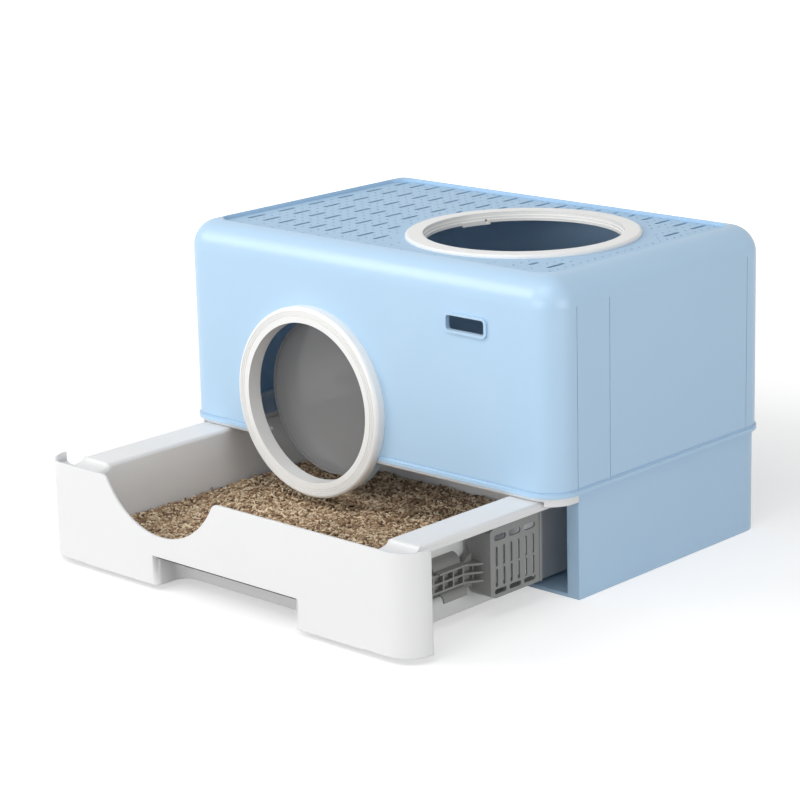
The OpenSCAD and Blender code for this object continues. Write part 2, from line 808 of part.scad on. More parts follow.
// Outline of the tray, seen from above, with the front end square
module tray_outline(inset) {
    length = tray_len - inset;
    translate([0, tray_back - inset - (length - inset) / 2]) union() {
        round_rect(tray_w - 2 * inset, length - inset, tray_corner_r - inset);
        translate([-tray_w / 2 + inset, -(length - inset) / 2])
            square([tray_w - 2 * inset, tray_corner_r]);
    }
}

// Outline of the drawer front and its rounded ends, seen from above
module front_outline(inset) {
    intersection() {
        translate([0, drawer_front + 2 * front_end_r])
            round_rect(hood_w - 2 * inset, 4 * front_end_r - 2 * inset, front_end_r - inset);
        translate([-hood_w / 2, drawer_front]) square([hood_w, front_end_r]);
    }
}

// Step-in notch with rounded upper corners, seen from the front
module notch_shape() {
    edge_z = front_top - notch_edge_r - notch_z;
    edge_x = sqrt(pow(notch_r + notch_edge_r, 2) - edge_z * edge_z);
    touch_z = edge_z * notch_r / (notch_r + notch_edge_r);
    rise = front_top - notch_z + cut;
    union() {
        circle(r = notch_r, $fn = 128);
        difference() {
            translate([-edge_x, touch_z]) square([2 * edge_x, rise - touch_z]);
            for (side = [-1, 1]) translate([side * edge_x, edge_z]) circle(r = notch_edge_r);
        }
    }
}

module pull_block(grow) {
    translate([pull_x, drawer_front + pull_depth / 2 - cut, 0])
        linear_extrude(pull_top + grow)
            round_rect(pull_w + 2 * grow, pull_depth + 2 * cut + 2 * grow, pull_corner_r + grow);
    translate([pull_x - pull_w / 2 - grow, drawer_front - cut, 0])
        cube([pull_w + 2 * grow, pull_corner_r + cut, pull_top + grow]);
}

// Round valley between the side rims and the front, running across the drawer
module valley(grow) {
    translate([0, rim_front - 2, dip_z + valley_r]) rotate([0, 90, 0])
        cylinder(r = valley_r + grow, h = 2 * rim_w, center = true);
}

// Section of one side rim: flat top, round outer edge and turned-down lip
module rim_section() {
    run = rim_w / 2 - rim_inner;
    translate([rim_inner, rim_z - rim_lip_h]) difference() {
        edge_section(run, rim_lip_h, rim_edge_r);
        translate([-cut, -cut])
            square([run - tray_wall + cut, rim_lip_h - tray_wall + cut]);
    }
}

module drawer_tray() {
    color(white) difference() {
        union() {
            // tray
            difference() {
                translate([0, 0, tray_z]) linear_extrude(rim_z - tray_z) tray_outline(0);
                translate([0, 0, tray_z + tray_wall]) linear_extrude(rim_z) tray_outline(tray_wall);
            }
            // lugs that stop the drawer at the housing's front posts
            for (side = [-1, 1])
                translate([side * (rim_w / 2 - tray_wall / 2 + stop_out / 2),
                           base_front + base_wall + stop_len / 2, rim_z - rim_lip_h + stop_len / 2])
                    cube([stop_out + tray_wall, stop_len, stop_len], center = true);
            // side rims and the rim along the back
            for (turn = [0, 1]) mirror([turn, 0, 0])
                translate([0, tray_back, 0]) rotate([90, 0, 0])
                    linear_extrude(tray_back - rim_front) rim_section();
            translate([0, 0, rim_z - tray_wall]) linear_extrude(tray_wall) difference() {
                translate([0, 4]) tray_outline(0);
                tray_outline(tray_wall);
                translate([-hood_w / 2, drawer_front - cut]) square([hood_w, tray_len - tray_corner_r]);
            }
            // front with rounded ends
            translate([0, 0, front_low]) linear_extrude(front_top - front_low) difference() {
                front_outline(0);
                front_outline(tray_wall);
            }
            // shelf in each rounded end, and the valley that rises from it to the rim
            translate([0, 0, dip_z - tray_wall]) linear_extrude(tray_wall) difference() {
                front_outline(tray_wall / 2);
                square([2 * rim_inner, hood_w * 4], center = true);
            }
            for (side = [-1, 1]) intersection() {
                valley(tray_wall);
                translate([side * (rim_inner + rim_w / 2) / 2, rim_front - 2 + valley_r / 2 + tray_wall / 2,
                           rim_z - valley_depth / 2 - tray_wall / 2])
                    cube([rim_w / 2 - rim_inner, valley_r + tray_wall, valley_depth + tray_wall],
                         center = true);
            }
            // inner side of the finger pull
            intersection() {
                pull_block(tray_wall);
                translate([-hood_w / 2, drawer_front, tray_z]) cube([hood_w, tray_len, base_h]);
            }
        }
        // room in the valleys
        intersection() {
            valley(0);
            translate([-rim_w / 2 - cut, rim_front - 2, dip_z - cut])
                cube([rim_w + 2 * cut, 2 * valley_r, base_h]);
        }
        translate([-rim_w / 2, drawer_front + tray_wall, dip_z])
            cube([rim_w, front_end_r - tray_wall - 2 + cut / 4, base_h]);
        // step-in notch
        translate([-notch_x, drawer_front + 2 * tray_wall, notch_z]) rotate([90, 0, 0])
            linear_extrude(4 * tray_wall) notch_shape();
        // finger pull
        pull_block(0);
    }
}

// Low round heaps, spread over the tray
module heaps(low) {
    cap_r = heap_pitch * 0.55;
    ball_r = (cap_r * cap_r + heap_h * heap_h) / (2 * heap_h);
    cols = floor((tray_w - 2 * tray_wall) / heap_pitch);
    rows = floor((tray_len - pull_depth) / heap_pitch);
    for (col = [0:cols - 1], row = [0:rows - 1])
        translate([(col - (cols - 1) / 2 + (row % 2) * 0.3 - 0.15) * heap_pitch,
                   tray_back - (row + 0.65) * heap_pitch, low])
            intersection() {
                translate([0, 0, heap_h - ball_r]) sphere(r = ball_r);
                cylinder(r = cap_r, h = heap_h);
            }
}

module litter_bed() {
    low = tray_z + tray_wall + fit_gap;
    color(sand) difference() {
        union() {
            translate([0, 0, low]) linear_extrude(litter_depth) difference() {
                tray_outline(tray_wall + fit_gap);
                translate([-hood_w / 2, drawer_front - cut])
                    square([hood_w, tray_wall + fit_gap + cut]);
            }
            intersection() {
                heaps(low + litter_depth - 0.1);
                translate([0, 0, low]) linear_extrude(base_h) tray_outline(tray_wall + fit_gap);
            }
        }
        pull_block(tray_wall + fit_gap);
    }
}

// ---------- scoop ----------

// Curved jaw of the clip, seen along the drawer
module jaw_section(radius) {
    difference() {
        circle(r = radius);
        circle(r = radius - scoop_wall);
        translate([-2 * radius, -2 * radius]) square([2 * radius, 4 * radius]);
        translate([-2 * radius, -2 * radius]) square([4 * radius, 2 * radius]);
    }
}

module scoop_clip() {
    wall_x = tray_w / 2;
    reach = handle_x + handle_t + 5 - wall_x;
    top = handle_z + handle_w / 2 + fit_gap;
    bottom = handle_z - handle_w / 2 - fit_gap;
    low = bottom - lower_jaw_r;
    color(grey) union() {
        translate([wall_x, clip_y - clip_len / 2, low])
            cube([scoop_wall, clip_len, top + upper_jaw_r - low]);
        // upper jaw: level beside the handle, with a rounded back
        translate([wall_x, clip_y - clip_len / 2, top]) cube([reach, clip_len, scoop_wall]);
        translate([wall_x, clip_y + clip_len / 2, top]) rotate([90, 0, 0])
            linear_extrude(clip_len) jaw_section(upper_jaw_r);
        // lower jaw: level beside the handle, and turned down at its edge
        translate([wall_x, lower_jaw_y - lower_jaw_len / 2, bottom - scoop_wall])
            cube([reach - lower_jaw_r + 1, lower_jaw_len, scoop_wall]);
        translate([wall_x + reach - lower_jaw_r, lower_jaw_y + lower_jaw_len / 2, low]) rotate([90, 0, 0])
            linear_extrude(lower_jaw_len) jaw_section(lower_jaw_r);
    }
}

// Blade seen from above: slanted heel, flat face, open mouth
module blade_section(inset) {
    front = heel - heel_len + inset * 1.1;
    back = mouth + (inset > 0 ? cut : 0);
    polygon([
        [heel_x - cut, front], [heel_x, front], [blade_x - inset, heel + inset * 0.8],
        [blade_x - inset, back], [heel_x - cut, back]
    ]);
}

// Outline of the blade, seen from the side of the drawer
module blade_outline(inset) {
    length = mouth - heel + heel_len;
    translate([heel - heel_len + length / 2, (blade_top + blade_bottom) / 2]) union() {
        round_rect(length - 2 * inset, blade_w - 2 * inset, 14 - inset);
        translate([length / 2 - 20, -blade_w / 2 + inset]) square([20 + cut, blade_w - 2 * inset]);
    }
}

// Row of slots through the blade's face, along Y
module face_slots(n, z, length, height) {
    start = heel + 4;
    pitch = (mouth - 7 - start) / n;
    for (i = [0:n - 1])
        translate([blade_x - 2 * scoop_wall, start + (i + 0.5) * pitch, z]) rotate([90, 0, 90])
            linear_extrude(4 * scoop_wall) round_rect(length, height, min(length, height) / 2 - 0.05);
}

module scoop_blade() {
    rows = [0.85, 0.585, 0.285, 0.09];
    slot = 3.6;
    difference() {
        intersection() {
            translate([0, 0, blade_bottom]) linear_extrude(blade_w) blade_section(0);
            translate([heel_x, 0, 0]) rotate([90, 0, 90])
                linear_extrude(blade_depth + cut) intersection() {
                    blade_outline(0);
                    translate([heel - heel_len - cut, blade_bottom])
                        square([mouth - heel + heel_len + cut, blade_w]);
                }
        }
        intersection() {
            translate([0, 0, blade_bottom + scoop_wall])
                linear_extrude(blade_w - 2 * scoop_wall) blade_section(scoop_wall);
            translate([heel_x - cut, 0, 0]) rotate([90, 0, 90])
                linear_extrude(blade_depth + 2 * cut) blade_outline(scoop_wall);
        }
        face_slots(3, blade_bottom + rows[0] * blade_w, 0.23 * blade_len, 0.085 * blade_w);
        face_slots(6, blade_bottom + rows[1] * blade_w, slot, 0.28 * blade_w);
        face_slots(6, blade_bottom + rows[2] * blade_w, slot, 0.26 * blade_w);
        face_slots(3, blade_bottom + rows[3] * blade_w, 0.23 * blade_len, 0.07 * blade_w);
    }
    // rib along the mouth
    translate([blade_x - scoop_wall, mouth - 3, blade_bottom])
        cube([scoop_wall + 1, 3, blade_w]);
}

module scoop_handle() {
    back_web = 1.6;
    rail = 2.4;
    bar_w = 2.2;
    join_y = heel - heel_len / 2;
    low = handle_z - handle_w / 2;
    bars = floor(handle_len / handle_pitch);
    translate([handle_x, handle_front, low]) union() {
        cube([back_web, handle_len + heel_len / 2, handle_w]);
        for (level = [0, (handle_w - rail) / 2, handle_w - rail])
            translate([0, 0, level]) cube([handle_t, handle_len, rail]);
        for (i = [0:bars]) translate([0, i * handle_pitch, 0]) cube([handle_t, bar_w, handle_w]);
        // ribs that spread along the heel
        for (level = [0, (handle_w - rail) / 2, handle_w - rail])
            translate([0, handle_len, level]) linear_extrude(rail) polygon([
                [0, -flare_len], [handle_t, -flare_len],
                [handle_t + flare_out, heel_len / 2 - 0.5], [0, heel_len / 2 - 0.5]
            ]);
        // flare where the handle meets the blade
        translate([0, handle_len, handle_w / 2]) rotate([90, 0, 90]) linear_extrude(handle_t / 2)
            polygon([[-flare_len, -handle_w / 2], [heel_len / 2, -handle_w], [heel_len / 2, handle_w],
                     [-flare_len, handle_w / 2]]);
    }
}

module scoop() {
    color(grey) union() {
        scoop_blade();
        difference() {
            scoop_handle();
            translate([0, 0, blade_bottom + scoop_wall])
                linear_extrude(blade_w - 2 * scoop_wall) intersection() {
                    blade_section(scoop_wall);
                    translate([heel_x - cut, heel - heel_len + 2 * scoop_wall]) square([hood_w, blade_len]);
                }
        }
    }
}

base_housing();
foot_pads();
left_runner();
right_runner();
middle_frame();
hood_shell();
vent_panel();
top_ring();
top_ring_clamp();
top_ring_screws();
front_ring();
front_ring_clamp();
front_ring_screws();
flap_hinge_pin();
flap_panel();
grip_frame();
drawer_tray();
litter_bed();
scoop_clip();
scoop();
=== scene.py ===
# %% [markdown]
# # A drawer litter box, dressed
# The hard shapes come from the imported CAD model. This file gives each of them the finish of its
# real material, softens the drawer's edges, adds what is too small or too loose for CAD, such as
# the litter, and sets up a plain studio. Everything is in metres, in the CAD model's own frame:
# X to the right, Y to the back, Z up, with the floor at zero.

# %% Load the frame
import math

import bmesh
import bpy
import numpy as np
from mathutils import Matrix, Vector
from mathutils.bvhtree import BVHTree


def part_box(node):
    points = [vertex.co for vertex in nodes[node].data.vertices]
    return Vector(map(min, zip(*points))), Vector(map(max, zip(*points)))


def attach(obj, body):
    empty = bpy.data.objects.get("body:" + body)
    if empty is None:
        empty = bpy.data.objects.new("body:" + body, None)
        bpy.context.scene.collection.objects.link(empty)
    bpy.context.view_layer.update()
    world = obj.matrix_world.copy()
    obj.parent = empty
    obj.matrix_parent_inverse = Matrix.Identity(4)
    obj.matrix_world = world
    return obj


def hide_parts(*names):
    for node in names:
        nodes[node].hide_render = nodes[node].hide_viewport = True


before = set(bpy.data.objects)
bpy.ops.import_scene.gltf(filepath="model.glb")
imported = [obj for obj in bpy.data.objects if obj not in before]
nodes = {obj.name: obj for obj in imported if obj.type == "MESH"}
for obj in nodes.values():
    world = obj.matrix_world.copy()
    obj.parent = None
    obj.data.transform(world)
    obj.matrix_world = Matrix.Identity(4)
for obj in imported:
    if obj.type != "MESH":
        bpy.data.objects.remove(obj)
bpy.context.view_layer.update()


def rounded(values, digits=3):
    """Numbers cut to a few digits, for printing."""
    return [round(float(v), digits) for v in values]


# %% [markdown]
# ## Measures
# The litter's place is read from the CAD bed, so that what is made here sits in the tray that
# carries it. Small sizes are easiest to read in millimetres, so they are written as a number
# times MM.

# %% Measures taken from the CAD pieces
MM = 0.001
litter_low, litter_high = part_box("litter_bed")
print("litter from", rounded(litter_low), "to", rounded(litter_high))

# %% [markdown]
# ## Helpers for materials
# Colours are easiest to note as sRGB hex values, but a shader works in linear light, so one
# function turns the one into the other. A noise texture's scale counts grains to the metre, so
# another works it out from the grain's real width. One more adds a node, sets its settings and
# inputs, and links whatever is given as a socket. With these, each material stays short.

# %% Colour and node helpers
def linear(hex_colour):
    """An sRGB hex colour as linear RGBA."""
    parts = [int(hex_colour[i:i + 2], 16) / 255 for i in (1, 3, 5)]
    lit = [c / 12.92 if c <= 0.04045 else ((c + 0.055) / 1.055) ** 2.4 for c in parts]
    return lit + [1.0]


def grains(width_mm):
    """Scale of a noise texture whose grains are about this wide."""
    return 1000 / width_mm


def add_node(tree, kind, inputs=None, **settings):
    """One node with its settings. An input that is a socket is linked, any other is set."""
    node = tree.nodes.new(kind)
    for name, value in settings.items():
        setattr(node, name, value)
    for name, value in (inputs or {}).items():
        socket = node.inputs[name]
        if isinstance(value, bpy.types.NodeSocket):
            tree.links.new(value, socket)
        else:
            socket.default_value = value
    return node


def new_material(name):
    """An empty node material, its tree and its output node."""
    material = bpy.data.materials.new(name)
    material.use_nodes = True
    material.node_tree.nodes.clear()
    return material, material.node_tree, material.node_tree.nodes.new("ShaderNodeOutputMaterial")


def dress(piece, material):
    """Puts one material on every slot of a piece."""
    if not piece.material_slots:
        piece.data.materials.append(material)
    for slot in piece.material_slots:
        slot.material = material

# %% [markdown]
# ## Moulded polypropylene
# The housing, hood and drawer are injection-moulded polypropylene. Such a part leaves the mould
# with a fine satin grain, slightly uneven where the melt cooled, and with edges that are never
# quite sharp. So the shader gets three things: a low bump at the size of the grain, a slow change
# of gloss over several centimetres, and a soft edge of 0.5 to 1.5 mm from the Bevel node. The
# real grain is about 0.2 mm, too fine to show here, so it is drawn 1.5 mm wide and very low.

# %% Moulded polypropylene, in four finishes
CLOUD_MM = 90
GLOSS_FALL, GLOSS_RISE = 0.03, 0.04


def moulded_plastic(name, colour, shade, roughness,
                    grain_mm=1.5, grain_height_mm=0.012, edge_mm=0.6):
    """Satin plastic, between two close colours, with a grain and softened edges."""
    material, tree, out = new_material(name)
    place = add_node(tree, "ShaderNodeTexCoord").outputs["Object"]
    cloud = add_node(tree, "ShaderNodeTexNoise",
                     {"Vector": place, "Scale": grains(CLOUD_MM), "Detail": 3.0})
    grain = add_node(tree, "ShaderNodeTexNoise",
                     {"Vector": place, "Scale": grains(grain_mm), "Detail": 2.0,
                      "Roughness": 0.5})
    tint = add_node(tree, "ShaderNodeMix",
                    {"Factor": cloud.outputs["Fac"], "A": linear(colour), "B": linear(shade)},
                    data_type="RGBA")
    gloss = add_node(tree, "ShaderNodeMapRange",
                     {"Value": cloud.outputs["Fac"], "To Min": roughness - GLOSS_FALL,
                      "To Max": roughness + GLOSS_RISE})
    edge = add_node(tree, "ShaderNodeBevel", {"Radius": edge_mm * MM}, samples=4)
    bump = add_node(tree, "ShaderNodeBump",
                    {"Height": grain.outputs["Fac"], "Distance": grain_height_mm * MM,
                     "Strength": 1.0, "Normal": edge.outputs["Normal"]})
    skin = add_node(tree, "ShaderNodeBsdfPrincipled",
                    {"Base Color": tint.outputs["Result"], "Roughness": gloss.outputs["Result"],
                     "Normal": bump.outputs["Normal"], "IOR": 1.49})
    tree.links.new(skin.outputs["BSDF"], out.inputs["Surface"])
    return material


blue_polypropylene = moulded_plastic("blue_polypropylene", "#b3d1ea", "#afcee8", 0.31)
panel_polypropylene = moulded_plastic("panel_polypropylene", "#aacce8", "#a6c9e6", 0.46)
white_polypropylene = moulded_plastic("white_polypropylene", "#e8e8e8", "#e5e5e5", 0.4,
                                      edge_mm=1.5)
white_ring_plastic = moulded_plastic("white_ring_plastic", "#f0f0ef", "#ececea", 0.3,
                                     edge_mm=0.5)
print("moulded finishes:", blue_polypropylene.name, panel_polypropylene.name,
      white_polypropylene.name, white_ring_plastic.name)

# %% [markdown]
# ## Grained grey plastic
# The scoop and its clip are there to be used and dropped, so their moulds are spark-eroded: an
# even matt grain that hides scratches. A matt surface spreads its highlight wide, which is a high
# roughness, and the grain is deeper than on the hood.

# %% Grained grey plastic
grained_grey = moulded_plastic("grained_grey_polypropylene", "#8e8f8d", "#878886", 0.5,
                               grain_mm=1.2, grain_height_mm=0.03, edge_mm=0.5)
print("scoop finish:", grained_grey.name)

# %% [markdown]
# ## Small fittings
# The screws and the hinge pin are zinc-plated steel: a metal, so its colour sits in its
# reflection, with the soft gloss of the plating, uneven over a few millimetres. The foot pads are
# matt rubber with a fine grain.

# %% Zinc-plated steel
PLATING_MM = 4


def plated_steel(name):
    """Bright steel whose gloss changes a little from place to place."""
    material, tree, out = new_material(name)
    place = add_node(tree, "ShaderNodeTexCoord").outputs["Object"]
    wear = add_node(tree, "ShaderNodeTexNoise",
                    {"Vector": place, "Scale": grains(PLATING_MM), "Detail": 3.0})
    gloss = add_node(tree, "ShaderNodeMapRange",
                     {"Value": wear.outputs["Fac"], "To Min": 0.22, "To Max": 0.42})
    skin = add_node(tree, "ShaderNodeBsdfPrincipled",
                    {"Base Color": linear("#c3c5c8"), "Metallic": 1.0,
                     "Roughness": gloss.outputs["Result"]})
    tree.links.new(skin.outputs["BSDF"], out.inputs["Surface"])
    return material


zinc_plate = plated_steel("zinc_plated_steel")
print("fittings:", zinc_plate.name)

# %% Matt rubber
RUBBER_GRAIN_MM = 1.5


def matt_rubber(name):
    """Dark rubber with a low grain."""
    material, tree, out = new_material(name)
    place = add_node(tree, "ShaderNodeTexCoord").outputs["Object"]
    grain = add_node(tree, "ShaderNodeTexNoise",
                     {"Vector": place, "Scale": grains(RUBBER_GRAIN_MM), "Detail": 2.0})
    bump = add_node(tree, "ShaderNodeBump",
                    {"Height": grain.outputs["Fac"], "Distance": 0.05 * MM})
    skin = add_node(tree, "ShaderNodeBsdfPrincipled",
                    {"Base Color": linear("#2b2c2e"), "Roughness": 0.75,
                     "Normal": bump.outputs["Normal"]})
    tree.links.new(skin.outputs["BSDF"], out.inputs["Surface"])
    return material


pad_rubber = matt_rubber("matt_rubber")
print("foot pads:", pad_rubber.name)

# %% [markdown]
# ## Smoked polycarbonate
# The flap is a see-through smoked sheet. Real polycarbonate bends and reflects light at IOR 1.58.
# A thin flat sheet hardly shifts what is behind it, so a transparent shader in the smoke colour
# stands for the way through, and a glossy grey mixed into it gives the haze and the reflection.
# This renders far faster than true refraction and shows the litter behind the flap without noise.

# %% Smoked polycarbonate
SMEAR_MM = 50
HAZE_SHARE = 0.45


def smoked_sheet(name, smoke, haze):
    """A thin sheet: clear smoke to look through, mixed with a glossy haze."""
    material, tree, out = new_material(name)
    through = add_node(tree, "ShaderNodeBsdfTransparent", {"Color": linear(smoke)})
    place = add_node(tree, "ShaderNodeTexCoord").outputs["Object"]
    smear = add_node(tree, "ShaderNodeTexNoise",
                     {"Vector": place, "Scale": grains(SMEAR_MM), "Detail": 4.0})
    gloss = add_node(tree, "ShaderNodeMapRange",
                     {"Value": smear.outputs["Fac"], "To Min": 0.05, "To Max": 0.16})
    skin = add_node(tree, "ShaderNodeBsdfPrincipled",
                    {"Base Color": linear(haze), "Roughness": gloss.outputs["Result"],
                     "IOR": 1.58})
    body = add_node(tree, "ShaderNodeMixShader",
                    {"Fac": HAZE_SHARE, 1: through.outputs["BSDF"], 2: skin.outputs["BSDF"]})
    tree.links.new(body.outputs["Shader"], out.inputs["Surface"])
    return material


smoked_polycarbonate = smoked_sheet("smoked_polycarbonate", "#c8c8c9", "#a9a9a9")
print("flap finish:", smoked_polycarbonate.name)

# %% [markdown]
# ## Dress the CAD pieces
# Each CAD piece keeps its shape and gets its finish by name. A table keeps this in one place.

# %% Put the finishes on
finishes = {
    blue_polypropylene: ["base_housing", "hood_shell", "grip_frame"],
    panel_polypropylene: ["vent_panel"],
    white_polypropylene: ["middle_frame", "left_runner", "right_runner", "drawer_tray",
                          "top_ring_clamp", "front_ring_clamp"],
    white_ring_plastic: ["top_ring", "front_ring"],
    grained_grey: ["scoop", "scoop_clip"],
    zinc_plate: ["top_ring_screws", "front_ring_screws", "flap_hinge_pin"],
    pad_rubber: ["foot_pads"],
    smoked_polycarbonate: ["flap_panel"],
}
for finish, names in finishes.items():
    for name in names:
        dress(nodes[name], finish)
print("dressed", sum(len(names) for names in finishes.values()), "CAD pieces")

# %% [markdown]
# ## The drawer's soft blends
# The drawer is one deep moulding. Its tool has generous radii where hands and plastic meet: the
# rims roll over into the tray, each rim dips to the front in a soft valley, and the finger pull
# has round upright corners. The CAD tray has all these forms with square edges. Its walls are
# already where they belong, so the visible drawer isn't built anew: it is a copy of the CAD tray
# with a few points moved and the chosen edges rounded. A CAD mesh is loose triangles, so its
# doubled points are merged first, and a cut across the rims gives them a row of points to move.

# %% A merged copy of the CAD drawer
MERGE_GAP = 1e-6
RIM_CUT = -345 * MM
drawer_shape = bmesh.new()
drawer_shape.from_mesh(nodes["drawer_tray"].data)
bmesh.ops.remove_doubles(drawer_shape, verts=drawer_shape.verts, dist=MERGE_GAP)
everything = drawer_shape.verts[:] + drawer_shape.edges[:] + drawer_shape.faces[:]
bmesh.ops.bisect_plane(drawer_shape, geom=everything, plane_co=(0, RIM_CUT, 0),
                       plane_no=(0, 1, 0))
print("merged drawer:", len(drawer_shape.verts), "points")

# %% [markdown]
# ## The front ends of the rims
# Both rims are drawn out towards the front, and the valleys before them are made shallower. Each
# move is a table of old and new places, in mm, with straight lines between them. Faces that end up
# level with each other are then joined, so that only real edges are left.

# %% Draw out the rims
RIM_END = ((-409.5, -409.5), (-380.8, -389.0), (-359.4, -372.0), (-320.0, -320.0))
VALLEY = ((93.0, 93.0), (93.6, 105.4), (96.2, 108.0), (111.6, 111.8), (114.2, 114.2))
SIDE_INNER, SIDE_OUTER = 205, 262
VALLEY_BACK, VALLEY_FLOOR = -356, 93.5
RIM_UNDERSIDE = 90
LEVEL = math.radians(0.5)


def drawn(value, pairs):
    """New place of a coordinate, on straight lines between pairs of old and new places."""
    for (start, new_start), (end, new_end) in zip(pairs, pairs[1:]):
        if start <= value <= end:
            return new_start + (new_end - new_start) * (value - start) / (end - start)
    return value


for vert in drawer_shape.verts:
    x, y, z = vert.co / MM
    if abs(x) > SIDE_INNER and y < VALLEY_BACK and z > VALLEY_FLOOR:
        vert.co.z = drawn(z, VALLEY) * MM
    if SIDE_INNER < abs(x) < SIDE_OUTER and z > RIM_UNDERSIDE:
        vert.co.y = drawn(y, RIM_END) * MM
bmesh.ops.dissolve_limit(drawer_shape, angle_limit=LEVEL, verts=drawer_shape.verts,
                         edges=drawer_shape.edges, delimit={"NORMAL"})
print("drawer after joining:", len(drawer_shape.faces), "faces")

# %% [markdown]
# ## Finding and rounding edges
# An edge is picked by what it is, outer or inner and sharper than 30 degrees, and by where its two
# ends lie. The Bevel operator then puts a few narrow faces in its place.

# %% Helpers for edges
SHARP = math.radians(30)


def close(value, target, slack=0.5):
    """Whether two measures in mm are about the same."""
    return abs(value - target) < slack


def edges_where(shape, convex, test):
    """Sharp edges, convex or hollow, whose two ends, in mm, pass the test."""
    found = []
    for edge in shape.edges:
        if edge.calc_face_angle(0.0) > SHARP and edge.is_convex == convex:
            if all(test(v.co / MM) for v in edge.verts):
                found.append(edge)
    return found


def round_edges(shape, edges, radius, segments, clamp=True):
    """Rounds edges and returns the new points."""
    made = bmesh.ops.bevel(shape, geom=edges, offset=radius, offset_type="OFFSET",
                           segments=segments, profile=0.5, affect="EDGES",
                           clamp_overlap=clamp)
    print("rounded", len(edges), "edges to", round(radius / MM, 1), "mm")
    return made["verts"]

# %% [markdown]
# ## The finger pull
# The pull is cut into the foot of the front wall. Its outer and inner edges get radii one wall
# apart, so the wall stays equally thick round the corners. The pull's upper edge stays nearly
# square: its rounding is pressed flat against the edge.

# %% Round the finger pull
WALL = 2.6 * MM
PULL_RADIUS = 7 * MM
PULL_SEGMENTS = 5
PULL_TOP = 39.5 * MM
PULL_PRESS = 0.15
FRONT_OUTSIDE, FRONT_INSIDE = -412.0, -409.4
OUTER_SPAN, OUTER_TOP = (-96, 116), 40
INNER_SPAN, INNER_TOP = (-98.4, 118.4), 43


def at_pull(face, span, top):
    """A test for points of the pull on one face of the front wall."""
    return lambda p: close(p.y, face) and span[0] < p.x < span[1] and p.z < top


pull_outer = edges_where(drawer_shape, True, at_pull(FRONT_OUTSIDE, OUTER_SPAN, OUTER_TOP))
for vert in round_edges(drawer_shape, pull_outer, PULL_RADIUS, PULL_SEGMENTS):
    if vert.co.z > PULL_TOP:
        vert.co.z = PULL_TOP + PULL_PRESS * (vert.co.z - PULL_TOP)
pull_inner = edges_where(drawer_shape, False, at_pull(FRONT_INSIDE, INNER_SPAN, INNER_TOP))
round_edges(drawer_shape, pull_inner, PULL_RADIUS - WALL, PULL_SEGMENTS)

# %% [markdown]
# ## The rims
# The rims' inner edges roll over into the tray. Next to them lie very short edges, which would
# hold the rounding down to almost nothing, so it isn't clamped here. The rims' front ends get a
# smaller radius.

# %% Round the rims
RIM_RADIUS, RIM_SEGMENTS = 5 * MM, 6
END_RADIUS, END_SEGMENTS = 3 * MM, 3
TRAY_SIDE, RIM_LOW, RIM_BACK = 212.2, 96, -60
END_FRONT, END_LOW, END_SPAN = -372.0, 105, (212, 257.5)
END_LENGTH = 20 * MM


def at_rim_inside(p):
    return close(abs(p.x), TRAY_SIDE) and p.z > RIM_LOW and p.y < RIM_BACK


def at_rim_end(p):
    return close(p.y, END_FRONT, 1.0) and p.z > END_LOW and END_SPAN[0] < abs(p.x) < END_SPAN[1]


rim_inside = edges_where(drawer_shape, True, at_rim_inside)
round_edges(drawer_shape, rim_inside, RIM_RADIUS, RIM_SEGMENTS, clamp=False)
rim_ends = [edge for edge in edges_where(drawer_shape, True, at_rim_end)
            if abs(edge.verts[0].co.x - edge.verts[1].co.x) > END_LENGTH]
round_edges(drawer_shape, rim_ends, END_RADIUS, END_SEGMENTS)

# %% [markdown]
# ## Even shading on the drawer
# Plain smooth shading would spread the turn of a narrow rounded face over the broad flat face next
# to it. Weighted normals let the broad faces keep their own direction, and the narrow ones blend
# into them. Both modifiers are applied, and the finished copy stands for the CAD tray.

# %% Shade the drawer and hand it over
sharp_mesh = bpy.data.meshes.new("drawer_plain")
drawer_shape.to_mesh(sharp_mesh)
drawer_shape.free()
sharp_mesh.shade_smooth()
sharp_mesh.set_sharp_from_angle(angle=SHARP)
drawer_moulding = bpy.data.objects.new("drawer_moulding", sharp_mesh)
bpy.context.scene.collection.objects.link(drawer_moulding)
blend = drawer_moulding.modifiers.new("even_shading", "WEIGHTED_NORMAL")
blend.keep_sharp = True
blend.weight = 100
flat = drawer_moulding.modifiers.new("triangles", "TRIANGULATE")
flat.keep_custom_normals = True
drawer_mesh = bpy.data.meshes.new_from_object(
    drawer_moulding.evaluated_get(bpy.context.evaluated_depsgraph_get()))
drawer_moulding.modifiers.clear()
drawer_moulding.data = drawer_mesh
drawer_mesh.name = "drawer_moulding"
bpy.data.meshes.remove(sharp_mesh)
dress(drawer_moulding, white_polypropylene)
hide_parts("drawer_tray")
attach(drawer_moulding, "drawer")
print("drawer moulding", len(drawer_mesh.polygons), "triangles")

# %% [markdown]
# ## The litter bed
# The litter is a loose heap of pressed plant pellets, 2 to 3 mm thick and 5 to 9 mm long. A heap
# in a tray isn't flat: it has low hills where the cat has dug. A flat top with only a bump would
# look like a mat, so the body of the heap is a closed block whose top follows the low heaps of the
# CAD bed, with smaller ripples added. It only shows in the gaps between the pellets.

# %% The heap's surface
HEAP_DEPTH = 37 * MM
INSET = 1 * MM
DEEPEST_DIP = 2 * MM
RIPPLES = ((0.5, 58, -41), (0.4, 131, 97))
RIPPLE_DROP = 0.8
bed = nodes["litter_bed"]
bed.data.calc_loop_triangles()
bed_points = [bed.matrix_world @ v.co for v in bed.data.vertices]
bed_faces = [list(t.vertices) for t in bed.data.loop_triangles]
bed_surface = BVHTree.FromPolygons(bed_points, bed_faces)
heap_level = litter_low[2] + HEAP_DEPTH


